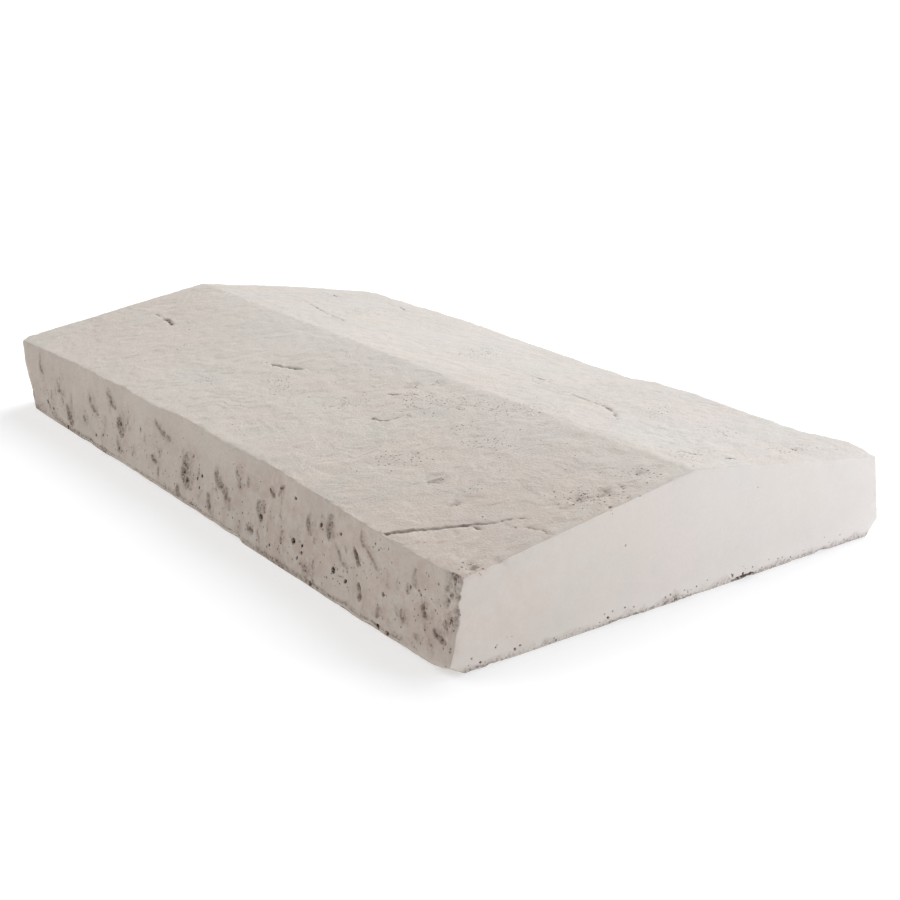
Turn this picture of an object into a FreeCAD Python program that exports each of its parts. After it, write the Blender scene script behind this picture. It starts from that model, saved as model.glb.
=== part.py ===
"""Saddleback wall coping stone, wet-cast upside down in one piece from reconstituted stone.

It lies on its bed, the flat face that was open in the mould. Two weathered slopes fall from a soft
ridge to the long arrises, the long sides lean in from the bed by the mould's draft, and both ends
are plain and upright, to butt against the next stone. Two corners of the bed are broken off.

Millimetres. X runs along the wall, Y across it and Z up. The origin is the middle of the bed.
"""

import FreeCAD
import Part
import math
import os

Vector = FreeCAD.Vector

# Sizes of the section and the length, before any edge is rounded
LENGTH = 500.0  # along the wall, end to end
BED_WIDTH = 280.0  # across the wall, between the long sides where they meet the bed
ARRIS_HEIGHT = 45.0  # from the bed to the long top arrises
RIDGE_HEIGHT = 65.0  # from the bed to the ridge
SIDE_DRAFT = 8.0  # how far each long side leans in between the bed and its arris

# Rounded edges, as the mould leaves them
RIDGE_RADIUS = 25.0
ARRIS_RADIUS = 3.0
BED_RADIUS = 1.5
END_RADIUS = 1.0

# Broken corners of the bed: how far each break runs along the stone, across it and up it
FAR_LEFT_BREAK = Vector(28.0, 20.0, 38.0)
NEAR_RIGHT_BREAK = Vector(15.0, 17.0, 14.0)


def rounded_outline(corners):
    """A closed wire in the YZ plane through (y, z, radius) corners, each rounded by a tangent arc."""
    points = [Vector(0, y, z) for y, z, _ in corners]
    arcs = []
    for i, (_, _, radius) in enumerate(corners):
        corner = points[i]
        back = (points[i - 1] - corner).normalize()
        ahead = (points[(i + 1) % len(points)] - corner).normalize()
        half_angle = back.getAngle(ahead) / 2
        setback = radius / math.tan(half_angle)
        to_centre = radius / math.sin(half_angle)
        inward = (back + ahead).normalize()
        start = corner + back * setback
        middle = corner + inward * (to_centre - radius)
        end = corner + ahead * setback
        arcs.append((start, middle, end))
    edges = []
    for i, (start, middle, end) in enumerate(arcs):
        edges.append(Part.Arc(start, middle, end).toShape())
        next_start = arcs[(i + 1) % len(arcs)][0]
        edges.append(Part.LineSegment(end, next_start).toShape())
    return Part.Wire(edges)


def cast_block():
    """The whole stone as it leaves the mould: the section run along X, with softened ends."""
    bed_edge = BED_WIDTH / 2
    arris = bed_edge - SIDE_DRAFT
    section = rounded_outline(
        [
            (-bed_edge, 0, BED_RADIUS),
            (bed_edge, 0, BED_RADIUS),
            (arris, ARRIS_HEIGHT, ARRIS_RADIUS),
            (0, RIDGE_HEIGHT, RIDGE_RADIUS),
            (-arris, ARRIS_HEIGHT, ARRIS_RADIUS),
        ]
    )
    block = Part.Face(section).extrude(Vector(LENGTH, 0, 0))
    block.translate(Vector(-LENGTH / 2, 0, 0))
    end_edges = [edge for edge in block.Edges if edge.BoundBox.XLength < END_RADIUS]
    return block.makeFillet(END_RADIUS, end_edges)


def corner_break(x_side, y_side, reach):
    """The piece that is missing from a corner of the bed: all that lies beyond a plane that cuts
    the two bed edges and the upright edge at the reach's distances from the corner."""
    corner = Vector(x_side * LENGTH / 2, y_side * BED_WIDTH / 2, 0)
    up_the_side = Vector(0, -y_side * SIDE_DRAFT, ARRIS_HEIGHT)
    along = corner + Vector(-x_side * reach.x, 0, 0)
    across = corner + Vector(0, -y_side * reach.y, 0)
    up = corner + up_the_side * (reach.z / ARRIS_HEIGHT)
    middle = (along + across + up) / 3
    normal = (across - along).cross(up - along).normalize()
    depth = normal.dot(corner - middle)
    clear = 2  # the cutter is wider and deeper than the break, so that its other faces miss the stone
    outline = [middle + (point - middle) * clear for point in (along, across, up, along)]
    return Part.Face(Part.makePolygon(outline)).extrude(normal * depth * clear)


stone = cast_block()
stone = stone.cut(corner_break(-1, -1, FAR_LEFT_BREAK))
stone = stone.cut(corner_break(1, 1, NEAR_RIGHT_BREAK))
(stone,) = stone.Solids

os.makedirs("parts", exist_ok=True)
stone.exportStep("parts/coping_stone.step")
print("volume, litres:", round(stone.Volume / 1e6, 3), "valid:", stone.isValid())
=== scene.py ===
"""Wall coping stone: the surface of the casting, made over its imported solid, in metres with +Z up."""

import math

import bpy
import numpy as np
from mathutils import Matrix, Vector


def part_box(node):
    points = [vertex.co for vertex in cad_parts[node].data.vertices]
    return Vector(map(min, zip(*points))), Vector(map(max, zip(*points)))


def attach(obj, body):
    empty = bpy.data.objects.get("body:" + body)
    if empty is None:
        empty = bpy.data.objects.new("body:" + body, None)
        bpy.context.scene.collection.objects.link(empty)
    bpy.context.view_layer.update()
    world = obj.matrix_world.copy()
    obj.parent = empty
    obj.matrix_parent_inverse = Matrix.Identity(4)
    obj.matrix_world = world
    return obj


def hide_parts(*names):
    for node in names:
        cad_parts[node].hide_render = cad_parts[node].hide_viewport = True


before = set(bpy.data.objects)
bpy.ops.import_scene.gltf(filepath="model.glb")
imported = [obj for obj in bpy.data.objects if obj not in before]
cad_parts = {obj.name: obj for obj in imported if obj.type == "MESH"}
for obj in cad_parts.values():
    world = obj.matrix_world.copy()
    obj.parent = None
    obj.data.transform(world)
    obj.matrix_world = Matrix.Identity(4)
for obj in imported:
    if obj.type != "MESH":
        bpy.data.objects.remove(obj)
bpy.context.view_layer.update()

# The viewpoint
# The camera stands off the stone's near left corner, level and a little above it. Its place and
# focal length were worked out from the stone's straight edges. Marks on the stone are given below
# as pixels of that view, and a sight line carries each one to the face that it lies on.
MM = 0.001
PHOTO_SIZE = 900
FOCAL_PIXELS = 1436.8
CAMERA_AZIMUTH = math.radians(54.08)
CAMERA_ELEVATION = math.radians(18.83)
CAMERA_DISTANCE = 889.4  # mm
CAMERA_TARGET = np.array([6.9, 36.1, 0.0])  # mm

camera_right = np.array([math.cos(CAMERA_AZIMUTH), math.sin(CAMERA_AZIMUTH), 0.0])
camera_back = np.array(
    [
        math.sin(CAMERA_AZIMUTH) * math.cos(CAMERA_ELEVATION),
        -math.cos(CAMERA_AZIMUTH) * math.cos(CAMERA_ELEVATION),
        math.sin(CAMERA_ELEVATION),
    ]
)
camera_up = np.cross(camera_back, camera_right)
camera_eye = CAMERA_TARGET + camera_back * CAMERA_DISTANCE

camera_data = bpy.data.cameras.new("viewpoint")
camera_data.sensor_width = 36.0
camera_data.lens = FOCAL_PIXELS / PHOTO_SIZE * camera_data.sensor_width
camera = bpy.data.objects.new("viewpoint", camera_data)
camera.location = Vector(camera_eye * MM)
camera.rotation_euler = Vector(-camera_back).to_track_quat("-Z", "Y").to_euler()
bpy.context.scene.collection.objects.link(camera)
bpy.context.scene.camera = camera


def seen_on(plane, pixel):
    """The point, in mm, where the sight line through a pixel meets a plane (normal, offset)."""
    normal, offset = plane
    across = (pixel[0] - PHOTO_SIZE / 2) / FOCAL_PIXELS
    down = (pixel[1] - PHOTO_SIZE / 2) / FOCAL_PIXELS
    sight = -camera_back + camera_right * across - camera_up * down
    return camera_eye + sight * (offset - normal @ camera_eye) / (normal @ sight)


# The coping stone
# One casting of reconstituted stone: fine concrete poured into a mould taken from dressed natural
# stone, bed upwards. The mould gave it riven slopes, pitted long sides and smooth ends.
ARRIS_HEIGHT = 45.0
SIDE_DRAFT = 8.0
FAR_LEFT_BREAK = (22.0, 17.0, 36.0)  # along, across and up from the corner of the bed
NEAR_RIGHT_BREAK = (12.0, 10.0, 9.0)
NEAR_LEFT_BREAK = (18.0, 9.0, 4.0)
FAR_LEFT_TOP_BREAK = 8.0  # along the left arris
LATTICE_STEPS = (0.6, 0.9, 0.6)  # mm between the points that the surface is first made with

stone_low, stone_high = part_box("coping_stone")
half_length = stone_high.x / MM
half_bed = stone_high.y / MM
half_top = half_bed - SIDE_DRAFT
ridge_height = stone_high.z / MM


def plane_through(point, normal):
    """The plane as its unit normal, pointing out of the stone, and its distance from the origin."""
    normal = np.array(normal, float)
    normal /= np.linalg.norm(normal)
    return normal, normal @ np.array(point, float)


def break_plane(x_side, y_side, reach):
    """The plane of a broken corner of the bed, through a point on each of its three edges."""
    corner = np.array([x_side * half_length, y_side * half_bed, 0.0])
    along = corner + (-x_side * reach[0], 0, 0)
    across = corner + (0, -y_side * reach[1], 0)
    up = corner + np.array([0, -y_side * SIDE_DRAFT / ARRIS_HEIGHT, 1.0]) * reach[2]
    normal = np.cross(across - along, up - along)
    return plane_through(along, normal * np.sign(normal @ (corner - along)))


slope_fall = ridge_height - ARRIS_HEIGHT
far_left_top = (FAR_LEFT_TOP_BREAK - half_length, -half_bed, ARRIS_HEIGHT)
planes = {
    "left_slope": plane_through((0, 0, ridge_height), (0, -slope_fall, half_top)),
    "right_slope": plane_through((0, 0, ridge_height), (0, slope_fall, half_top)),
    "left_side": plane_through((0, -half_bed, 0), (0, -ARRIS_HEIGHT, SIDE_DRAFT)),
    "right_side": plane_through((0, half_bed, 0), (0, ARRIS_HEIGHT, SIDE_DRAFT)),
    "near_end": plane_through((half_length, 0, 0), (1, 0, 0)),
    "far_end": plane_through((-half_length, 0, 0), (-1, 0, 0)),
    "bed": plane_through((0, 0, 0), (0, 0, -1)),
    "far_left_break": break_plane(-1, -1, FAR_LEFT_BREAK),
    "near_right_break": break_plane(1, 1, NEAR_RIGHT_BREAK),
    "near_left_break": break_plane(1, -1, NEAR_LEFT_BREAK),
    "far_left_top_break": plane_through(far_left_top, (-1, -1, 1)),
}
main_faces = [face for face in planes if not face.endswith("break")]


def face_axes(face):
    """Two unit directions in a face: level along it, and up it."""
    normal, _ = planes[face]
    level = np.array([1.0, 0, 0])
    if abs(normal[2]) < 0.5:
        level = np.cross((0, 0, 1), normal)
        level /= np.linalg.norm(level)
    return level, np.cross(normal, level)


def shell_lattice(counts):
    """Whole-number points over the six sides of a box of that many cells, and the quads between."""
    quads = []
    for axis in range(3):
        u, v = (axis + 1) % 3, (axis + 2) % 3
        for level in (0, counts[axis]):
            index = np.zeros((3, counts[u] + 1, counts[v] + 1), int)
            index[axis] = level
            index[u], index[v] = np.mgrid[0 : counts[u] + 1, 0 : counts[v] + 1]
            key = np.ravel_multi_index(index, [count + 1 for count in counts])
            corners = [key[:-1, :-1], key[1:, :-1], key[1:, 1:], key[:-1, 1:]]
            if level == 0:
                corners.reverse()
            quads.append(np.stack(corners, axis=-1).reshape(-1, 4))
    keys, quads = np.unique(np.concatenate(quads), return_inverse=True)
    points = np.stack(np.unravel_index(keys, [count + 1 for count in counts]), axis=-1)
    return points, quads.reshape(-1, 4)


lattice_counts = [
    round(size / step)
    for size, step in zip((2 * half_length, 2 * half_bed, ARRIS_HEIGHT), LATTICE_STEPS)
]
lattice, quads = shell_lattice(lattice_counts)
share_x, share_y, share_z = (lattice / lattice_counts).T
from_ridge = abs(2 * share_y - 1)
points = np.stack(
    [
        (2 * share_x - 1) * half_length,
        (2 * share_y - 1) * (half_bed - SIDE_DRAFT * share_z),
        share_z * (ridge_height - slope_fall * from_ridge),
    ],
    axis=-1,
)
along_x, across_y, height_z = points.T

NOISE_CELLS = 64  # after which the lumps repeat
NOISE_SHIFT = 0.37  # of a cell, so that the stone's flat faces miss the cells' corners
NOISE_GAIN = 1.3  # brings most of them to between -1 and 1


def noise(cell, seed):
    """Smooth lumps about one cell (mm) across, mostly from -1 to 1, at the stone's points."""
    gradients = np.random.default_rng(seed).normal(size=(NOISE_CELLS,) * 3 + (3,))
    place = points / cell + NOISE_SHIFT
    base = np.floor(place).astype(int)
    offset = place - base
    blend = offset * offset * (3 - 2 * offset)
    total = np.zeros(len(place))
    for corner in np.ndindex(2, 2, 2):
        weight = np.where(corner, blend, 1 - blend).prod(axis=1)
        i, j, k = ((base + corner) % NOISE_CELLS).T
        total += weight * ((offset - corner) * gradients[i, j, k]).sum(axis=1)
    return NOISE_GAIN * total


# Waves and grain of each face, as heights in mm above or below its plane
broad = noise(110, 1)
middle = noise(42, 2)
small = noise(13, 3)
grain = noise(5.5, 4)
fine_grain = noise(2.6, 5)
lift = 2.2 * (noise(38, 6) + 0.5 * noise(15, 7) + 0.2 * grain)
tread = lift - np.floor(lift)
terrace = np.clip((tread - 0.7) / 0.3, 0, 1) - tread
heights = {
    "slope": 0.45 * broad + 0.35 * middle + 0.45 * terrace + 0.25 * small + 0.12 * grain,
    "side": 0.5 * broad + 0.6 * middle + 0.4 * small + 0.2 * grain + 0.08 * fine_grain,
    "end": 0.3 * (broad - 0.8) + 0.12 * middle + 0.06 * small + 0.03 * grain,
    "bed": 0.25 * (middle - 1.2) + 0.1 * small,
    "break": 1.6 * noise(18, 8) + 0.8 * small + 0.4 * grain,
}
relief = {face: heights[face.split("_")[-1]].copy() for face in planes}

# Bows of the casting: places along it, and how far the left side stands out at its arris and the
# right slope stands up at its arris, in mm. The left side also stands out a little at its foot.
LEFT_ARRIS_OUT = [
    (-250, 6.5),
    (-200, 4.0),
    (-165, 1.5),
    (-120, 1.0),
    (-95, -1.0),
    (-60, 1.0),
    (-20, -2.5),
    (40, -1.0),
    (80, -2.5),
    (150, 0.5),
    (205, 2.5),
    (250, 2.0),
]
RIGHT_ARRIS_UP = [
    (-250, -2.5),
    (-215, 1.0),
    (-110, 1.0),
    (62, -1.5),
    (84, 1.0),
    (110, 2.0),
    (165, 1.0),
    (200, 0.5),
    (232, 2.5),
    (250, -0.5),
]
ARRIS_BOW_HEIGHT = 32.0  # the left arris's bow fades from this height down to the bed
FOOT_OUT = 1.0
FOOT_OUT_HEIGHT = 12.0
bow = {face: np.zeros(len(points)) for face in planes}
arris_share = np.clip(height_z / ARRIS_BOW_HEIGHT, 0, 1)
bow["left_side"] = np.interp(along_x, *zip(*LEFT_ARRIS_OUT)) * arris_share
bow["left_side"] += FOOT_OUT * np.clip(1 - height_z / FOOT_OUT_HEIGHT, 0, 1)
right_share = np.clip(across_y / half_top, 0, 1) ** 1.5
bow["right_slope"] = np.interp(along_x, *zip(*RIGHT_ARRIS_UP)) * right_share
for face in planes:
    relief[face] += bow[face]

# Cracks in the slopes: path in pixels from the wide end, width and depth in mm at that end
LEFT_SLOPE_CRACKS = [
    ([(380, 534), (400, 532), (425, 529), (467, 525), (500, 522)], 2.6, 1.8),
    ([(463, 525), (478, 528), (491, 531)], 1.8, 1.0),
    ([(503, 520), (513, 518), (526, 519)], 2.0, 0.9),
    ([(519, 526), (540, 530), (561, 536)], 1.2, 0.5),
    ([(302, 369), (283, 366), (262, 362)], 2.2, 1.2),
    ([(172, 324), (165, 318), (154, 314)], 2.4, 1.3),
    ([(373, 419), (388, 421), (406, 415)], 2.0, 1.0),
    ([(389, 393), (408, 395), (425, 393)], 1.5, 0.7),
    ([(329, 406), (343, 405), (345, 400)], 2.0, 0.9),
]
RIGHT_SLOPE_CRACKS = [
    ([(345, 322), (322, 311), (300, 298)], 1.6, 0.8),
    ([(338, 297), (326, 293), (315, 291)], 1.5, 0.7),
    ([(405, 311), (396, 306), (385, 303)], 1.5, 0.7),
    ([(545, 380), (535, 376), (525, 373)], 1.8, 0.9),
    ([(603, 405), (609, 409), (615, 413), (616, 418), (612, 421)], 2.6, 1.1),
    ([(603, 405), (592, 402), (582, 398), (570, 394), (560, 391)], 2.8, 1.1),
    ([(680, 451), (690, 454), (700, 455)], 1.5, 0.7),
    ([(733, 459), (726, 459), (717, 458)], 1.5, 0.7),
    ([(795, 452), (790, 450), (785, 448)], 1.8, 0.8),
]
CRACK_WANDER = 1.1  # mm that a crack strays from its path

dust_and_shade = np.zeros(len(points))
wander = np.stack([noise(6, 9), noise(6, 10), noise(6, 11)], axis=-1)
crumble = noise(2.2, 12)


def cut_crack(face, path, width, depth):
    """Sinks a V along a path of points into a face. It narrows towards the path's last point."""
    path = np.array(path)
    margin = width + 3 * CRACK_WANDER
    inside = (points[:, :2] > path[:, :2].min(axis=0) - margin).all(axis=1)
    inside &= (points[:, :2] < path[:, :2].max(axis=0) + margin).all(axis=1)
    near = np.flatnonzero(inside & (height_z > ARRIS_HEIGHT / 2))
    place = points[near] + CRACK_WANDER * wander[near]
    lengths = np.linalg.norm(np.diff(path, axis=0), axis=1)
    gone = np.concatenate([[0], np.cumsum(lengths)]) / lengths.sum()
    best = np.zeros(len(near))
    for start, end, gone_start, gone_end in zip(path[:-1], path[1:], gone[:-1], gone[1:]):
        run = end - start
        t = np.clip((place - start) @ run / (run @ run), 0, 1)
        distance = np.linalg.norm(place - start - t[:, None] * run, axis=1)
        taper = 1 - 0.6 * (gone_start + t * (gone_end - gone_start))
        taper *= np.clip(1 + 0.3 * crumble[near] + 0.3 * small[near], 0.3, 2)
        best = np.maximum(best, taper * np.clip(1.3 - distance / (width / 2 * taper), 0, 1))
    relief[face][near] -= depth * best
    dust_and_shade[near] = np.maximum(dust_and_shade[near], 0.6 * best)


for face, cracks in (("left_slope", LEFT_SLOPE_CRACKS), ("right_slope", RIGHT_SLOPE_CRACKS)):
    for pixels, width, depth in cracks:
        cut_crack(face, [seen_on(planes[face], pixel) for pixel in pixels], width, depth)

# Pits of the long sides, left by the tool that dressed the pattern: the pixels of the upper and
# lower tip, then the width of the dark part and the depth in mm
LEFT_SIDE_PITS = [
    ((34, 377), (37, 395), 6, 0.8),
    ((47, 357), (51, 378), 5, 0.5),
    ((62, 380), (68, 394), 9, 0.6),
    ((52, 402), (59, 414), 9, 0.7),
    ((70, 404), (76, 424), 10, 1.2),
    ((85, 411), (89, 423), 8, 0.6),
    ((91, 393), (100, 414), 8, 0.9),
    ((108, 389), (116, 408), 7, 0.9),
    ((119, 414), (125, 432), 16, 1.3),
    ((117, 438), (125, 452), 7, 0.9),
    ((155, 419), (168, 441), 6, 0.9),
    ((152, 454), (157, 461), 5, 1.1),
    ((184, 452), (191, 489), 18, 1.4),
    ((177, 484), (181, 497), 4, 1.3),
    ((214, 467), (230, 500), 9, 1.1),
    ((238, 466), (241, 488), 9, 0.6),
    ((207, 492), (213, 512), 8, 1.0),
    ((257, 503), (261, 521), 7, 0.8),
    ((246, 524), (252, 534), 4, 1.2),
    ((268, 485), (272, 496), 6, 1.0),
    ((282, 486), (277, 496), 5, 0.9),
    ((261, 500), (262, 513), 6, 0.9),
    ((283, 531), (282, 544), 6, 0.5),
    ((310, 515), (312, 533), 10, 0.8),
    ((333, 515), (330, 540), 9, 1.2),
    ((334, 542), (351, 568), 5, 0.5),
    ((356, 547), (362, 566), 4, 1.4),
    ((365, 532), (369, 546), 7, 0.8),
    ((369, 546), (386, 571), 5, 0.5),
    ((302, 562), (312, 574), 6, 0.8),
    ((361, 583), (361, 600), 4, 1.4),
    ((380, 607), (382, 616), 6, 0.8),
    ((413, 583), (415, 591), 6, 0.8),
    ((422, 572), (421, 588), 6, 0.6),
    ((407, 610), (409, 622), 7, 0.9),
    ((418, 631), (425, 636), 5, 0.6),
    ((429, 602), (432, 618), 7, 1.3),
    ((438, 626), (448, 641), 6, 1.3),
]
# Air holes: the pixel and the radius in mm
LEFT_SIDE_HOLES = [
    ((51, 401), 1.2),
    ((56, 408), 0.8),
    ((69, 426), 1.2),
    ((104, 452), 1.1),
    ((97, 435), 0.8),
    ((104, 435), 0.8),
    ((190, 456), 0.9),
    ((195, 479), 0.9),
    ((200, 476), 0.9),
    ((198, 488), 0.8),
    ((258, 517), 1.2),
    ((294, 498), 0.8),
    ((320, 525), 1.1),
    ((293, 541), 1.6),
    ((301, 546), 0.8),
    ((297, 558), 0.8),
    ((301, 553), 0.8),
    ((334, 570), 1.6),
    ((311, 583), 1.2),
    ((347, 581), 1.0),
    ((386, 594), 1.0),
    ((379, 625), 1.2),
    ((388, 632), 1.2),
    ((269, 545), 0.8),
    ((341, 534), 0.8),
    ((414, 587), 0.8),
]
PIT_WANDER = 1.2  # mm that a pit's outline strays from an oval
FACE_REACH = 12.0  # mm below a face's plane that its marks can reach
STREWN_REACH = 238.0  # mm to each side of the middle that chance pits and holes lie within
STREWN_PIT_HEIGHTS = (5, 35)  # mm up from the foot
STREWN_PIT_LEANS = (55, 85)  # degrees

pinholes = np.zeros(len(points))
soil = np.zeros(len(points))


def on_face(face, point):
    """A point's level and upward place in a face."""
    level, up = face_axes(face)
    return np.array([point @ level, point @ up])


def foot_of(face):
    """The place, in a long side, of the middle of its foot."""
    side = np.sign(planes[face][0][1])
    return on_face(face, np.array([0.0, side * half_bed, 0.0]))


def near_face(face):
    """The points close to a face, their places in it, and the same places a little astray."""
    normal, offset = planes[face]
    near = np.flatnonzero(points @ normal - offset > -FACE_REACH)
    axes = np.stack(face_axes(face), axis=-1)
    place = points[near] @ axes
    fray = np.stack([crumble, fine_grain], axis=-1)[near]
    return near, place, place + PIT_WANDER * (wander[near] @ axes + 0.4 * fray)


def sink_pit(face, near, place, tips, width, depth):
    """Sinks a scoop between two tips into a face: a steep wall on one flank, then a ramp, and paints
    shade into it that is darkest along the wall.
    """
    start, end = tips
    run = end - start
    half_run = np.linalg.norm(run) / 2
    unit = run / (2 * half_run)
    offset = place - (start + end) / 2
    along = offset @ unit / (half_run + 1)
    taper = np.sqrt(np.clip(1 - along**2, 0, 1))
    sideways = offset @ np.array([-unit[1], unit[0]])
    flank = sideways / (0.62 * width) / np.maximum(taper, 0.05)
    wall = np.clip((flank + 1) / 0.35, 0, 1)
    ramp = np.clip((1 - flank) / 1.65, 0, 1)
    scoop = taper * wall * ramp
    relief[face][near] -= depth * scoop * (1.3 + 0.5 * crumble[near])
    # Painted shade in the scoop: darkest in a thin band just inside the steep wall, fading out over the
    # ramp
    fade = np.clip((flank + 1) / 0.15, 0, 1) * np.clip((1 - flank) / 1.5, 0, 1)
    rim = np.exp(-(((flank + 0.75) / 0.25) ** 2))
    shade = np.sqrt(taper) * ((0.09 + 0.14 * depth) * fade + (0.05 + 0.09 * depth) * rim)
    speckle = np.clip(1 + 0.4 * crumble[near] + 0.3 * fine_grain[near], 0.4, 1.7)
    dust_and_shade[near] = np.maximum(dust_and_shade[near], shade * speckle)
    pinholes[near] = np.maximum(pinholes[near], 0.6 * scoop)
    apart = np.hypot(along, sideways / (width / 2 + 3))
    halo = np.clip(1.7 - apart, 0, 1) * np.clip(0.7 + 0.5 * grain[near] + 0.5 * crumble[near], 0, 1.5)
    soil[near] = np.maximum(soil[near], halo * (0.3 + 0.3 * depth))


def sink_hole(face, near, place, centre, radius):
    """Sinks the round mouth of an air bubble into a face, and paints shade into it."""
    mouth = np.clip(2.6 - 2.4 * np.linalg.norm(place - centre, axis=1) / radius, 0, 1)
    relief[face][near] -= 1.5 * radius * mouth
    # Painted shade: the mouth of the hole is darkened in full
    dust_and_shade[near] = np.maximum(dust_and_shade[near], 2 * mouth)


def strew_pits(face, near, place, count, lengths, widths, depths, seed):
    """Sinks pits of chance sizes, within those ranges in mm, all over a long side."""
    chance = np.random.default_rng(seed)
    for _ in range(count):
        along = chance.uniform(-STREWN_REACH, STREWN_REACH)
        centre = foot_of(face) + (along, chance.uniform(*STREWN_PIT_HEIGHTS))
        lean = math.radians(chance.uniform(*STREWN_PIT_LEANS))
        half_run = chance.uniform(*lengths) / 2 * np.array([-math.cos(lean), math.sin(lean)])
        tips = [centre + half_run, centre - half_run]
        sink_pit(face, near, place, tips, chance.uniform(*widths), chance.uniform(*depths))


near, place, astray = near_face("left_side")
for upper, lower, width, depth in LEFT_SIDE_PITS:
    tips = [on_face("left_side", seen_on(planes["left_side"], pixel)) for pixel in (upper, lower)]
    sink_pit("left_side", near, astray, tips, width, depth)
small_pits = {"count": 70, "lengths": (2, 9), "widths": (2, 5), "depths": (0.1, 0.4)}
strew_pits("left_side", near, astray, **small_pits, seed=21)
for pixel, radius in LEFT_SIDE_HOLES:
    centre = on_face("left_side", seen_on(planes["left_side"], pixel))
    sink_hole("left_side", near, place, centre, radius)

# Holes along the foot of the near end: the pixel and the radius in mm
NEAR_END_HOLES = [
    ((481, 663), 0.6),
    ((515, 650), 0.5),
    ((520, 646), 0.4),
    ((608, 618), 0.6),
    ((733, 576), 0.6),
    ((743, 574), 0.6),
    ((752, 573), 0.5),
]
# A long void in the foot of the near end: the pixels of its tips, and its half height in mm
NEAR_END_VOID = ((733, 581), (750, 575))
NEAR_END_VOID_RADIUS = 1.3
NEAR_END_VOID_CUTS = 12  # overlapping holes that make the void, growing towards its second tip
near, place, _ = near_face("near_end")
for pixel, radius in NEAR_END_HOLES:
    centre = on_face("near_end", seen_on(planes["near_end"], pixel))
    sink_hole("near_end", near, place, centre, radius)
void_tips = [on_face("near_end", seen_on(planes["near_end"], pixel)) for pixel in NEAR_END_VOID]
for share in np.linspace(0, 1, NEAR_END_VOID_CUTS):
    centre = (1 - share) * void_tips[0] + share * void_tips[1]
    sink_hole("near_end", near, place, centre, NEAR_END_VOID_RADIUS * (0.5 + 0.5 * share))

# The unseen long side has pits and holes of the same kind, strewn by chance
STREWN_HOLES = 30
STREWN_HOLE_HEIGHTS = (2, 38)
STREWN_HOLE_RADII = (0.8, 1.5)
near, place, astray = near_face("right_side")
large_pits = {"count": 40, "lengths": (8, 22), "widths": (4, 11), "depths": (0.4, 1.4)}
strew_pits("right_side", near, astray, **large_pits, seed=20)
strew_pits("right_side", near, astray, **small_pits, seed=22)
chance = np.random.default_rng(23)
for _ in range(STREWN_HOLES):
    along = chance.uniform(-STREWN_REACH, STREWN_REACH)
    centre = foot_of("right_side") + (along, chance.uniform(*STREWN_HOLE_HEIGHTS))
    sink_hole("right_side", near, place, centre, chance.uniform(*STREWN_HOLE_RADII))

# Pocks and dents in the left slope, most of them along the near end's arris: the pixel, the radius
# and the depth in mm
LEFT_SLOPE_POCKS = [
    ((474, 567), 3.5, 0.8),
    ((497, 561), 2.5, 0.8),
    ((566, 507), 3.0, 0.7),
    ((577, 500), 4.0, 0.7),
    ((592, 499), 4.0, 0.7),
    ((604, 494), 4.5, 0.8),
    ((611, 507), 1.0, 0.9),
    ((625, 486), 4.0, 0.6),
    ((642, 473), 4.0, 0.6),
    ((655, 468), 3.5, 0.6),
    ((436, 480), 5.5, 0.9),
    ((453, 504), 4.0, 0.7),
    ((437, 383), 5.0, 0.6),
    ((411, 385), 5.0, 0.6),
]
near, _, astray = near_face("left_slope")
on_top = share_z[near] == 1
for pixel, radius, depth in LEFT_SLOPE_POCKS:
    centre = on_face("left_slope", seen_on(planes["left_slope"], pixel))
    pock = np.clip(1.3 - np.linalg.norm(astray - centre, axis=1) / radius, 0, 1)
    relief["left_slope"][near] -= depth * pock * (1 + 0.9 * crumble[near])
    speckle = np.clip(0.4 + 0.7 * crumble[near] + 0.6 * fine_grain[near], 0, 1.4)
    dust_and_shade[near] = np.maximum(dust_and_shade[near], 0.3 * depth * pock * speckle * on_top)
    pinholes[near] = np.maximum(pinholes[near], 0.8 * pock * on_top)

# The near left corner is bruised: a strip of the side along the end is rough and dark, mostly in
# its upper part
BRUISE_WIDTH = 13.0
BRUISE_WIDTH_FADE = 4.0
BRUISE_FOOT = 14.0
BRUISE_FOOT_FADE = 8.0
bruise = np.clip((along_x - half_length + BRUISE_WIDTH + 4 * small) / BRUISE_WIDTH_FADE, 0, 1)
bruise *= np.clip((height_z - BRUISE_FOOT - 6 * small) / BRUISE_FOOT_FADE, 0.15, 1)
relief["left_side"] -= bruise * (0.6 + 0.6 * crumble + 0.5 * small)

# Patches of pinholes in the slopes and in the left side: the pixel, and the half width and height in
# pixels
SLOPE_PINHOLES = [
    ((398, 458), 26, 8),
    ((420, 403), 22, 14),
    ((455, 402), 20, 9),
    ((490, 406), 22, 8),
    ((520, 411), 22, 6),
    ((465, 428), 14, 6),
    ((490, 442), 24, 8),
    ((475, 486), 10, 6),
    ((345, 402), 22, 6),
    ((278, 383), 14, 8),
    ((205, 380), 8, 6),
    ((590, 498), 42, 9),
    ((640, 474), 26, 7),
    ((474, 567), 16, 6),
    ((597, 403), 9, 4),
    ((545, 380), 14, 4),
    ((690, 455), 24, 5),
    ((790, 450), 18, 5),
    ((722, 432), 16, 6),
    ((655, 412), 14, 5),
    ((480, 352), 18, 5),
    ((365, 312), 16, 4),
]
LEFT_SIDE_PINHOLES = [
    ((57, 408), 12, 10),
    ((88, 425), 12, 10),
    ((132, 453), 28, 9),
    ((188, 472), 12, 18),
    ((210, 505), 12, 10),
    ((258, 518), 14, 12),
    ((292, 545), 24, 14),
    ((318, 562), 20, 14),
    ((345, 575), 22, 14),
    ((332, 540), 12, 16),
    ((378, 560), 20, 16),
    ((425, 600), 26, 24),
]
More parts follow.
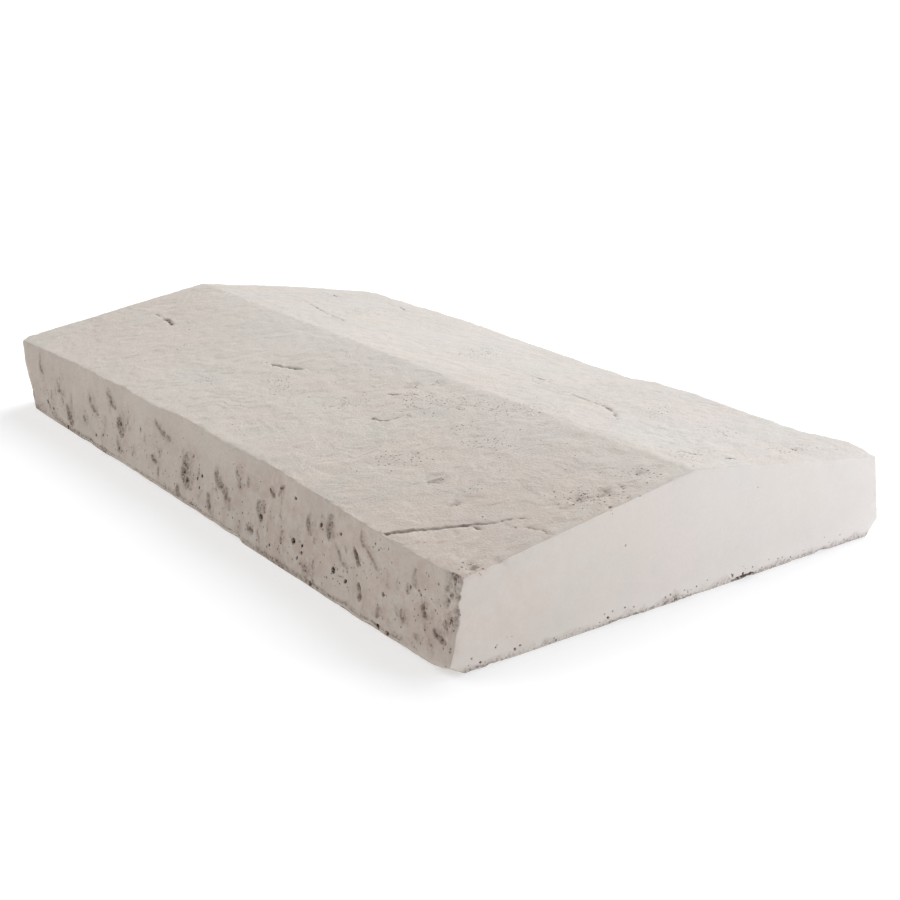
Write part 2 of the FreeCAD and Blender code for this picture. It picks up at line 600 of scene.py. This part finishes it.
PINHOLE_DENSITIES = ((SLOPE_PINHOLES, 1.0), (LEFT_SIDE_PINHOLES, 0.4))
sight_depth = -((points - camera_eye) @ camera_back)
seen_across = PHOTO_SIZE / 2 + FOCAL_PIXELS * ((points - camera_eye) @ camera_right) / sight_depth
seen_down = PHOTO_SIZE / 2 - FOCAL_PIXELS * ((points - camera_eye) @ camera_up) / sight_depth
in_sight = (share_z == 1) | (share_y == 0)
for patches, density in PINHOLE_DENSITIES:
    for (across, down), half_width, half_height in patches:
        apart = np.hypot((seen_across - across) / half_width, (seen_down - down) / half_height)
        pinholes = np.maximum(pinholes, density * np.clip(1.4 - apart, 0, 1) * in_sight)

# Worn and chipped edges: each is a bevel midway between two faces, with the mean depth that it is
# cut back by, and how much that varies by chance, in mm
EDGE_WEAR = [
    ("left_slope", "left_side", -0.4, 0.8),
    ("right_slope", "right_side", -0.7, 0.4),
    ("near_end", "left_side", 0.3, 1.2),
    ("near_end", "right_side", 0.0, 1.0),
    ("far_end", "left_side", 0.2, 1.2),
    ("far_end", "right_side", 0.4, 1.6),
    ("near_end", "left_slope", -0.2, 0.8),
    ("near_end", "right_slope", -0.2, 0.8),
    ("far_end", "left_slope", 0.0, 1.0),
    ("far_end", "right_slope", 0.0, 1.0),
    ("left_side", "bed", 0.0, 0.3),
    ("right_side", "bed", 1.0, 1.4),
    ("near_end", "bed", 0.4, 1.2),
    ("far_end", "bed", 0.5, 1.4),
]
# The foot of the left side is worn further back in places: where along it, and how far in mm
LEFT_FOOT_WORN = [
    (-250, 0.5),
    (-152, 0.5),
    (-138, 1.5),
    (-112, 1.0),
    (-95, 2.0),
    (61, 2.0),
    (68, 0.0),
    (85, 0.0),
    (115, 1.0),
    (250, 2.0),
]
chips = 0.8 * noise(16, 13) + 0.6 * small + 0.4 * grain + 0.25 * crumble
for first, second, mean_depth, roughness in EDGE_WEAR:
    normal = planes[first][0] + planes[second][0]
    offset = planes[first][1] + planes[second][1]
    size = np.linalg.norm(normal)
    bevel = first + "_to_" + second
    planes[bevel] = (normal / size, offset / size)
    bowed = (bow[first] + bow[second]) / size
    relief[bevel] = bowed - mean_depth - roughness * chips
relief["left_side_to_bed"] -= np.interp(along_x, *zip(*LEFT_FOOT_WORN))

# The stone is what lies behind all the planes, each pushed in or out by its relief. Every point is
# moved along the mean normal there, in a few steps, until it lies on that surface.
EDGE_SOFTNESS = 0.1  # mm over which two planes blend where they meet
NORMAL_SOFTNESS = 4.0  # mm over which their normals blend
SOLVING_STEPS = 12
LEAST_RATE = 0.3  # keeps a step short where the normal runs nearly along a plane
normals = np.array([normal for normal, _ in planes.values()])
distances = np.stack(
    [points @ normal - offset - relief[name] for name, (normal, offset) in planes.items()], axis=-1
)


def soft_shares(values, softness):
    """The smooth greatest of each row of values, and the share that each value has in it."""
    top = values.max(axis=1, keepdims=True)
    shares = np.exp((values - top) / softness)
    total = shares.sum(axis=1, keepdims=True)
    return (top + softness * np.log(total))[:, 0], shares / total


_, shares = soft_shares(distances, NORMAL_SOFTNESS)
directions = shares @ normals
directions /= np.linalg.norm(directions, axis=1, keepdims=True)
rates = directions @ normals.T
moves = np.zeros(len(points))
for _ in range(SOLVING_STEPS):
    excess, shares = soft_shares(distances + moves[:, None] * rates, EDGE_SOFTNESS)
    moves -= excess / np.maximum((shares * rates).sum(axis=1), LEAST_RATE)
surface = points + moves[:, None] * directions
surface = np.clip(surface, np.array(stone_low) / MM, np.array(stone_high) / MM)

share_of = dict(zip(planes, shares.T))
riven = share_of["left_slope"] + share_of["right_slope"]
moulded = share_of["near_end"] + share_of["far_end"]
pitted = share_of["left_side"] + share_of["right_side"]
rough = 0.4 + 0.6 * riven + 0.45 * pitted - 0.37 * moulded

# Brown stain: over the long sides, less so near their arrises and more so at the far end, in a zone of
# the near half and round the pits, and over the weathered near left corner. Places, heights and
# reaches here and below are in mm.
STAIN_TOP = 30.0
STAIN_TOP_FADE = 8.0
STAINED_FAR_PLACE = -185.0
STAINED_FAR_FADE = 40.0
STAINED_ZONE = 110.0
STAINED_ZONE_REACH = 60.0
WEATHERED_REACH = 120.0
stain = np.clip(0.75 + 0.35 * noise(26, 14) + 0.2 * small + 0.25 * grain + 0.2 * crumble, 0.3, 1.3)
stain *= 1 - 0.4 * np.clip((height_z - STAIN_TOP) / STAIN_TOP_FADE, 0, 1)
stain += 0.6 * np.clip((STAINED_FAR_PLACE - along_x) / STAINED_FAR_FADE, 0, 1)
stain += 0.5 * np.clip(1.3 - abs(along_x - STAINED_ZONE) / STAINED_ZONE_REACH, 0, 1)
stain = pitted * (stain + np.clip(along_x / half_length, 0, 0.3) + soil)
from_corner = np.linalg.norm(points - (half_length, -half_top, ARRIS_HEIGHT), axis=1)
weathered = np.clip(1.2 - from_corner / WEATHERED_REACH, 0, 1)
stain += weathered * (1.2 * share_of["left_slope"] + 0.6 * share_of["near_end"] + 0.3 * pitted)

# Paleness: a pale bloom of cement along the foot of the ends and sides, and the slopes paler over
# their middle and the left slope paler along the ridge
BLOOM_HEIGHT = 9.0
BLOOM_FADE = 3.0
PALE_PLACE = -60.0
PALE_REACH = 175.0
PALE_BESIDE_RIDGE = 40.0
low_band = np.clip((BLOOM_HEIGHT + 5 * middle + 4 * small - height_z) / BLOOM_FADE, 0, 1)
pale = riven * np.clip(1 - abs(along_x - PALE_PLACE) / PALE_REACH, 0, 1)
pale += share_of["left_slope"] * np.clip(1 - abs(across_y) / PALE_BESIDE_RIDGE, 0, 1)
paleness = 0.6 * low_band * (moulded + 0.5 * pitted) + pale

# Cream, more of it to the left of the ridge
CREAM_SPREAD = 200.0
clouds = (0.5 * noise(48, 15) + 0.3 * noise(20, 16)) * (1 - 0.5 * moulded)
cream = np.clip(0.5 - across_y / CREAM_SPREAD + clouds, 0, 1)

# Dust and painted shade in the bruise, and a dark strip of painted shadow along the foot, where
# the stone meets the floor, that is taller on the left side
FOOT_SHADOW_HEIGHT = 2.2
LEFT_FOOT_SHADOW_HEIGHT = 4.4
FOOT_SHADOW_FADE = 0.6
bruise *= share_of["near_end_to_left_side"] + share_of["left_side"]
# The bruise is darkened partly with dust and partly with painted shade of its broken strip
bruise_dust_and_shade = np.clip(0.25 + 0.1 * small + 0.3 * crumble + 0.3 * fine_grain, 0, 0.6)
dust_and_shade = np.maximum(dust_and_shade, bruise * bruise_dust_and_shade)
# Painted shadow: a dark strip along the foot, standing in for the shade under the stone's worn lower
# edge
foot_shadow_top = FOOT_SHADOW_HEIGHT + (LEFT_FOOT_SHADOW_HEIGHT - FOOT_SHADOW_HEIGHT) * (across_y < 0) * pitted
painted_foot_shadow = np.clip((foot_shadow_top + 0.6 * small - height_z) / FOOT_SHADOW_FADE, 0, 1) * (1 - share_of["bed"])
dust_and_shade = np.maximum(dust_and_shade, painted_foot_shadow * np.clip(0.38 + 0.12 * small + 0.15 * crumble, 0, 0.7))

# Pinholes in the bruise, along the foot of the ends and low on the long sides
END_PINHOLE_HEIGHT = 4.0
END_PINHOLE_FADE = 3.0
SIDE_PINHOLE_HEIGHT = 34.0
end_foot = np.clip((END_PINHOLE_HEIGHT + 3 * small - height_z) / END_PINHOLE_FADE, 0, 1)
side_foot = np.clip(1.0 - height_z / SIDE_PINHOLE_HEIGHT + 0.9 * middle, 0, 1)
pinholes = np.maximum(pinholes, 0.7 * bruise)
pinholes = np.maximum(pinholes, 0.35 * moulded * end_foot)
pinholes = np.maximum(pinholes, 0.2 * pitted * side_foot)

stone_mesh = bpy.data.meshes.new("coping_stone_dressed")
stone_mesh.vertices.add(len(surface))
stone_mesh.vertices.foreach_set("co", (surface * MM).astype(np.float32).ravel())
stone_mesh.loops.add(quads.size)
stone_mesh.loops.foreach_set("vertex_index", quads.astype(np.int32).ravel())
stone_mesh.polygons.add(len(quads))
stone_mesh.polygons.foreach_set("loop_start", np.arange(0, quads.size, 4, dtype=np.int32))
stone_mesh.update(calc_edges=True)
marks = {
    "dust_and_shade": dust_and_shade,
    "pinholes": pinholes,
    "rough": rough,
    "stain": stain,
    "cream": cream,
    "paleness": paleness,
}
for name, values in marks.items():
    attribute = stone_mesh.attributes.new(name, "FLOAT", "POINT")
    attribute.data.foreach_set("value", np.clip(values, 0, 2).astype(np.float32))

# The points are thinned out where the stone is plain: off its dark marks and its ridge
MOST_TRIANGLES = 190000
PLAIN_DUST_AND_SHADE = 0.12
RIDGE_KEPT = 2.5  # mm to each side of the ridge
SHARP_ANGLE = math.radians(35)  # edges that turn by more keep a crease in the shading
stone = bpy.data.objects.new("coping_stone_dressed", stone_mesh)
bpy.context.scene.collection.objects.link(stone)
thinning = stone.modifiers.new("thinning", "DECIMATE")
thinning.ratio = MOST_TRIANGLES / (2 * len(quads))
plain = stone.vertex_groups.new(name="plain")
plain_points = np.flatnonzero((dust_and_shade < PLAIN_DUST_AND_SHADE) & (abs(across_y) > RIDGE_KEPT))
plain.add(plain_points.tolist(), 1.0, "REPLACE")
thinning.vertex_group = "plain"
thinning.vertex_group_factor = 1.0
thinning.use_collapse_triangulate = True
graph = bpy.context.evaluated_depsgraph_get()
stone.data = bpy.data.meshes.new_from_object(stone.evaluated_get(graph))
stone.modifiers.clear()
stone.vertex_groups.clear()
stone.data.shade_smooth()
stone.data.set_sharp_from_angle(angle=SHARP_ANGLE)

# Thinning out can push a point a hair past the solid's box
kept_points = np.empty(len(stone.data.vertices) * 3, np.float32)
stone.data.vertices.foreach_get("co", kept_points)
kept_points = np.clip(kept_points.reshape(-1, 3), stone_low, stone_high).astype(np.float32)
stone.data.vertices.foreach_set("co", kept_points.ravel())
stone.data.update()

# The faces are laid out flat side by side, for a picture of their colours: the lower left corner of
# each on a sheet, in mm, and its scale there
SHEET_SIZE = 606.0
SHEET_PLACES = {
    "left_slope": (2, 2, 1.0),
    "right_slope": (2, 142, 1.0),
    "left_side": (2, 282, 1.0),
    "right_side": (2, 336, 1.0),
    "near_end": (2, 390, 1.0),
    "far_end": (300, 390, 1.0),
    "bed": (2, 462, 0.5),
}
sheet = stone.data.uv_layers.new(name="OFBake")
corner_index = np.empty(len(stone.data.loops), int)
stone.data.loops.foreach_get("vertex_index", corner_index)
triangles = kept_points[corner_index].reshape(-1, 3, 3) / MM
centres = triangles.mean(axis=1)
nearest = np.argmax([centres @ planes[face][0] - planes[face][1] for face in main_faces], axis=0)
spots = np.zeros((len(triangles), 3, 2))
for i, face in enumerate(main_faces):
    left, low, scale = SHEET_PLACES[face]
    flat = triangles[nearest == i] @ np.stack(face_axes(face), axis=-1)
    spots[nearest == i] = (flat - flat.min(axis=(0, 1))) * scale + (left, low)
sheet.data.foreach_set("uv", (spots / SHEET_SIZE).astype(np.float32).ravel())


def colour(code):
    """An sRGB hex colour as linear red, green, blue and alpha."""
    channels = [int(code[i : i + 2], 16) / 255 for i in (1, 3, 5)]
    linear = [c / 12.92 if c <= 0.04045 else ((c + 0.055) / 1.055) ** 2.4 for c in channels]
    return (*linear, 1.0)


# Wet-cast reconstituted stone: matt, pale cream-grey paste with sand in it. It clouds gently from
# cream to pink and grey, darkens along its cracks, holds brown dust in its pocks and bruise, and
# has painted shade in its pits, air holes, pinholes and bruise, and painted shadow along its foot.
stone_material = bpy.data.materials.new("wet_cast_reconstituted_stone")
stone_material.use_nodes = True
tree = stone_material.node_tree
shader = tree.nodes["Principled BSDF"]


def add(tree, kind, inputs=(), **settings):
    """Adds a node with its settings, and sets each input to a value or links it to a socket."""
    node = tree.nodes.new(kind)
    for name, value in settings.items():
        setattr(node, name, value)
    for name, value in dict(inputs).items():
        if isinstance(value, bpy.types.NodeSocket):
            tree.links.new(value, node.inputs[name])
        else:
            node.inputs[name].default_value = value
    return node


# Sizes of its patterns in mm
PATCH_ACROSS = 27
TINT_ACROSS = 55
MOTTLE_ACROSS = 7
SAND_ACROSS = 1.3
PINHOLES_APART = 1.7
FLAKE_ACROSS = 9
FLAKE_DRAWN_OUT = 3.0  # times as long along the rift as across it
RIFT_ANGLE = math.radians(54)
BUMP_HEIGHT = 0.3  # of the sand
place = add(tree, "ShaderNodeTexCoord").outputs["Object"]
mark = {
    name: add(tree, "ShaderNodeAttribute", attribute_name=name).outputs["Fac"] for name in marks
}

# Warmer cream to the left of the ridge and cooler to its right, in clouds, with patches of grey and
# a breath of pink and green in wide clouds
base = add(
    tree,
    "ShaderNodeMix",
    {"Factor": mark["cream"], "A": colour("#C5BEB7"), "B": colour("#C7BEB4")},
    data_type="RGBA",
)
patch = add(
    tree, "ShaderNodeTexNoise", {"Vector": place, "Scale": 1 / (PATCH_ACROSS * MM), "Detail": 3.0}
)
patch_share = add(
    tree,
    "ShaderNodeMapRange",
    {"Value": patch.outputs["Fac"], "From Min": 0.5, "From Max": 0.75, "To Max": 0.5},
)
greyed = add(
    tree,
    "ShaderNodeMix",
    {"Factor": patch_share.outputs["Result"], "A": base.outputs["Result"], "B": colour("#BFBAB2")},
    data_type="RGBA",
)
tint = add(
    tree, "ShaderNodeTexNoise", {"Vector": place, "Scale": 1 / (TINT_ACROSS * MM), "Detail": 2.0}
)
tint_share = add(
    tree, "ShaderNodeMapRange", {"Value": tint.outputs["Fac"], "From Min": 0.45, "From Max": 0.7}
)
tinted = add(
    tree,
    "ShaderNodeMix",
    {"Factor": tint_share.outputs["Result"], "A": colour("#FFFDFC"), "B": colour("#FDFFFE")},
    data_type="RGBA",
)
clouded = add(
    tree,
    "ShaderNodeMix",
    {"Factor": 1.0, "A": greyed.outputs["Result"], "B": tinted.outputs["Result"]},
    data_type="RGBA",
    blend_type="MULTIPLY",
)

# Mottles and sand, lighter and darker
mottle = add(
    tree,
    "ShaderNodeTexNoise",
    {"Vector": place, "Scale": 1 / (MOTTLE_ACROSS * MM), "Detail": 5.0, "Roughness": 0.7},
)
mottle_wave = add(tree, "ShaderNodeMath", {0: mottle.outputs["Fac"], 1: 0.5}, operation="SUBTRACT")
mottle_height = add(
    tree, "ShaderNodeMath", {0: mark["rough"], 1: 0.16, 2: 0.08}, operation="MULTIPLY_ADD"
)
mottle_light = add(
    tree,
    "ShaderNodeMath",
    {0: mottle_wave.outputs["Value"], 1: mottle_height.outputs["Value"], 2: 1.0},
    operation="MULTIPLY_ADD",
)
sand = add(
    tree, "ShaderNodeTexNoise", {"Vector": place, "Scale": 1 / (SAND_ACROSS * MM), "Detail": 2.0}
)
sand_wave = add(tree, "ShaderNodeMath", {0: sand.outputs["Fac"], 1: 0.5}, operation="SUBTRACT")
sand_depth = add(
    tree, "ShaderNodeMath", {0: mark["rough"], 1: 0.28, 2: 0.1}, operation="MULTIPLY_ADD"
)
sand_light = add(
    tree,
    "ShaderNodeMath",
    {0: sand_wave.outputs["Value"], 1: sand_depth.outputs["Value"], 2: 1.0},
    operation="MULTIPLY_ADD",
)
mottled = add(
    tree,
    "ShaderNodeVectorMath",
    {0: clouded.outputs["Result"], "Scale": mottle_light.outputs["Value"]},
    operation="SCALE",
)
sanded = add(
    tree,
    "ShaderNodeVectorMath",
    {0: mottled.outputs["Vector"], "Scale": sand_light.outputs["Value"]},
    operation="SCALE",
)

# The brown stain, broken up by the mottles, and the paleness: bloom of cement at the foot and paler
# slopes
stain_edge = add(
    tree,
    "ShaderNodeMapRange",
    {"Value": mottle.outputs["Fac"], "From Min": 0.35, "From Max": 0.65, "To Min": 0.05, "To Max": 0.75},
)
stain_share = add(
    tree, "ShaderNodeMath", {0: mark["stain"], 1: stain_edge.outputs["Result"]}, operation="MULTIPLY"
).outputs["Value"]
stained = add(
    tree,
    "ShaderNodeMix",
    {"Factor": stain_share, "A": sanded.outputs["Vector"], "B": colour("#B9A99E")},
    data_type="RGBA",
)
paleness_share = add(
    tree, "ShaderNodeMath", {0: mark["paleness"], 1: 0.4}, operation="MULTIPLY"
).outputs["Value"]
paled = add(
    tree,
    "ShaderNodeMix",
    {"Factor": paleness_share, "A": stained.outputs["Result"], "B": colour("#D0C9C1")},
    data_type="RGBA",
)

# Darkening along the cracks, brown dust in the pocks and bruise, painted shade in the pits, air holes
# and bruise, and painted shadow along the foot, all broken up by the sand
dust_and_shade_edge = add(
    tree,
    "ShaderNodeMapRange",
    {"Value": sand.outputs["Fac"], "From Min": 0.35, "From Max": 0.65, "To Min": 0.2, "To Max": 1.8},
)
dust_and_shade_share = add(
    tree,
    "ShaderNodeMath",
    {0: mark["dust_and_shade"], 1: dust_and_shade_edge.outputs["Result"]},
    operation="MULTIPLY",
    use_clamp=True,
)
dusted_and_shaded = add(
    tree,
    "ShaderNodeMix",
    {
        "Factor": dust_and_shade_share.outputs["Value"],
        "A": paled.outputs["Result"],
        "B": colour("#553D2F"),
    },
    data_type="RGBA",
)

# Pinholes: dark dots of painted shade in cells, in most cells of the marked patches and in few
# elsewhere
cell = add(tree, "ShaderNodeTexVoronoi", {"Vector": place, "Scale": 1 / (PINHOLES_APART * MM)})
lot = add(tree, "ShaderNodeSeparateColor", {"Color": cell.outputs["Color"]})
dot_radius = add(
    tree, "ShaderNodeMath", {0: lot.outputs["Blue"], 1: 0.25, 2: 0.15}, operation="MULTIPLY_ADD"
)
dot_reach = add(
    tree,
    "ShaderNodeMath",
    {0: cell.outputs["Distance"], 1: dot_radius.outputs["Value"]},
    operation="DIVIDE",
)
dot = add(
    tree,
    "ShaderNodeMapRange",
    {
        "Value": dot_reach.outputs["Value"],
        "From Min": 0.5,
        "From Max": 1.0,
        "To Min": 1.0,
        "To Max": 0.0,
    },
)
odds = add(
    tree, "ShaderNodeMath", {0: mark["rough"], 1: 0.012, 2: mark["pinholes"]}, operation="MULTIPLY_ADD"
).outputs["Value"]
held = add(tree, "ShaderNodeMath", {0: odds, 1: lot.outputs["Red"]}, operation="GREATER_THAN")
pinhole = add(
    tree,
    "ShaderNodeMath",
    {0: dot.outputs["Result"], 1: held.outputs["Value"]},
    operation="MULTIPLY",
).outputs["Value"]
pinhole_shade = add(
    tree, "ShaderNodeMath", {0: lot.outputs["Green"], 1: 0.6, 2: 0.35}, operation="MULTIPLY_ADD"
)
pinhole_share = add(
    tree, "ShaderNodeMath", {0: pinhole, 1: pinhole_shade.outputs["Value"]}, operation="MULTIPLY"
)
specked = add(
    tree,
    "ShaderNodeMix",
    {
        "Factor": pinhole_share.outputs["Value"],
        "A": dusted_and_shaded.outputs["Result"],
        "B": colour("#53453B"),
    },
    data_type="RGBA",
)
tree.links.new(specked.outputs["Result"], shader.inputs["Base Color"])

# The smooth ends shine a little, the riven slopes not at all
dullness = add(tree, "ShaderNodeMath", {0: mark["rough"], 1: 0.2, 2: 0.75}, operation="MULTIPLY_ADD")
tree.links.new(dullness.outputs["Value"], shader.inputs["Roughness"])

# Small steps of the riven face, drawn out along the rift, and sand stand up from the surface, and the
# pinholes go into it
rift = add(
    tree,
    "ShaderNodeMapping",
    {"Vector": place, "Rotation": (0, 0, RIFT_ANGLE), "Scale": (FLAKE_DRAWN_OUT, 1.0, 1.0)},
    vector_type="TEXTURE",
)
flake = add(
    tree,
    "ShaderNodeTexNoise",
    {
        "Vector": rift.outputs["Vector"],
        "Scale": 1 / (FLAKE_ACROSS * MM),
        "Detail": 8.0,
        "Roughness": 0.7,
    },
)
flake_lift = add(tree, "ShaderNodeMath", {0: flake.outputs["Fac"], 1: 6.0}, operation="MULTIPLY")
flake_tread = add(tree, "ShaderNodeMath", {0: flake_lift.outputs["Value"]}, operation="FRACT")
flake_riser = add(
    tree,
    "ShaderNodeMapRange",
    {"Value": flake_tread.outputs["Value"], "From Min": 0.65, "From Max": 1.0},
)
flake_edge = add(
    tree,
    "ShaderNodeMath",
    {0: flake_riser.outputs["Result"], 1: flake_tread.outputs["Value"]},
    operation="SUBTRACT",
)
flake_field = add(
    tree, "ShaderNodeMapRange", {"Value": patch.outputs["Fac"], "From Min": 0.38, "From Max": 0.68}
)
flake_height = add(
    tree,
    "ShaderNodeMath",
    {0: flake_edge.outputs["Value"], 1: flake_field.outputs["Result"]},
    operation="MULTIPLY",
)
riven_height = add(
    tree,
    "ShaderNodeMath",
    {0: flake_height.outputs["Value"], 1: 0.45, 2: sand.outputs["Fac"]},
    operation="MULTIPLY_ADD",
)
sand_height = add(
    tree,
    "ShaderNodeMath",
    {0: riven_height.outputs["Value"], 1: mark["rough"]},
    operation="MULTIPLY",
)
full_height = add(
    tree,
    "ShaderNodeMath",
    {0: pinhole, 1: -1.3, 2: sand_height.outputs["Value"]},
    operation="MULTIPLY_ADD",
)
bump = add(
    tree,
    "ShaderNodeBump",
    {"Height": full_height.outputs["Value"], "Distance": BUMP_HEIGHT * MM, "Strength": 1.0},
)
tree.links.new(bump.outputs["Normal"], shader.inputs["Normal"])
stone.data.materials.clear()
stone.data.materials.append(stone_material)

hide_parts("coping_stone")
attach(stone, "root")

# The floor
# A plain white studio floor that the stone lies on, lit a little from below.
FLOOR_REACH = 30.0  # metres
FLOOR_HEIGHT = -0.2 * MM  # just clear of the bed
floor_corners = [(x * FLOOR_REACH, y * FLOOR_REACH) for x, y in ((-1, -1), (1, -1), (1, 1), (-1, 1))]
floor_mesh = bpy.data.meshes.new("floor")
floor_mesh.from_pydata([(x, y, FLOOR_HEIGHT) for x, y in floor_corners], [], [(0, 1, 2, 3)])
floor = bpy.data.objects.new("floor", floor_mesh)
bpy.context.scene.collection.objects.link(floor)
floor_material = bpy.data.materials.new("white_studio_floor")
floor_material.use_nodes = True
floor_shader = floor_material.node_tree.nodes["Principled BSDF"]
floor_shader.inputs["Base Color"].default_value = colour("#C4C4C4")
floor_shader.inputs["Roughness"].default_value = 0.8
floor_shader.inputs["Emission Color"].default_value = colour("#FFFFFF")
floor_shader.inputs["Emission Strength"].default_value = 0.5
floor_mesh.materials.append(floor_material)

# The backdrop
# Plain white paper that stands round the edge of the floor, for low views that reach that far. It
# takes no part in the light.
BACKDROP_HEIGHT = 20.0  # metres
backdrop_mesh = bpy.data.meshes.new("backdrop")
backdrop_mesh.from_pydata(
    [(x, y, z) for z in (FLOOR_HEIGHT, BACKDROP_HEIGHT) for x, y in floor_corners],
    [],
    [(i, (i + 1) % 4, (i + 1) % 4 + 4, i + 4) for i in range(4)],
)
backdrop = bpy.data.objects.new("backdrop", backdrop_mesh)
backdrop.visible_diffuse = False
backdrop.visible_glossy = False
backdrop.visible_shadow = False
bpy.context.scene.collection.objects.link(backdrop)
backdrop_material = bpy.data.materials.new("white_paper_backdrop")
backdrop_material.use_nodes = True
backdrop_shader = backdrop_material.node_tree.nodes["Principled BSDF"]
backdrop_shader.inputs["Emission Color"].default_value = colour("#FFFFFF")
backdrop_shader.inputs["Emission Strength"].default_value = 1.0
backdrop_mesh.materials.append(backdrop_material)

# The light
# A white room, with soft light from high behind the stone and from its left, a low lamp that faces
# the near end, and a small one behind the far end. All but the left light are slightly cool.
world = bpy.data.worlds.new("white_room")
world.use_nodes = True
world.node_tree.nodes["Background"].inputs["Color"].default_value = colour("#FFFFFF")
world.node_tree.nodes["Background"].inputs["Strength"].default_value = 0.355
bpy.context.scene.world = world
bpy.context.scene.view_settings.view_transform = "Standard"
SUN_SPREAD = math.radians(50)  # a broad sun, for soft shadows


def add_lamp(kind, name, place, power, tint, **settings):
    """A lamp at a place in metres, or a sun in that direction, that faces the stone."""
    data = bpy.data.lights.new(name, kind)
    data.energy = power
    data.color = tint
    for setting, value in settings.items():
        setattr(data, setting, value)
    lamp = bpy.data.objects.new(name, data)
    lamp.location = place
    lamp.rotation_euler = (-Vector(place)).to_track_quat("-Z", "Y").to_euler()
    lamp.visible_camera = False
    bpy.context.scene.collection.objects.link(lamp)


add_lamp("SUN", "back_light", (-0.3, 1.0, 0.9), 2.15, (0.98, 1.0, 1.04), angle=SUN_SPREAD)
add_lamp("SUN", "left_light", (-0.8, -0.6, 0.7), 0.99, (1.0, 1.0, 1.0), angle=SUN_SPREAD)
add_lamp("AREA", "right_lamp", (0.9, 0.6, 0.2), 6.6, (0.93, 1.0, 1.13), size=0.5)
add_lamp("AREA", "back_lamp", (-0.7, 0.9, 0.7), 3.9, (0.97, 1.0, 1.06), size=0.7)
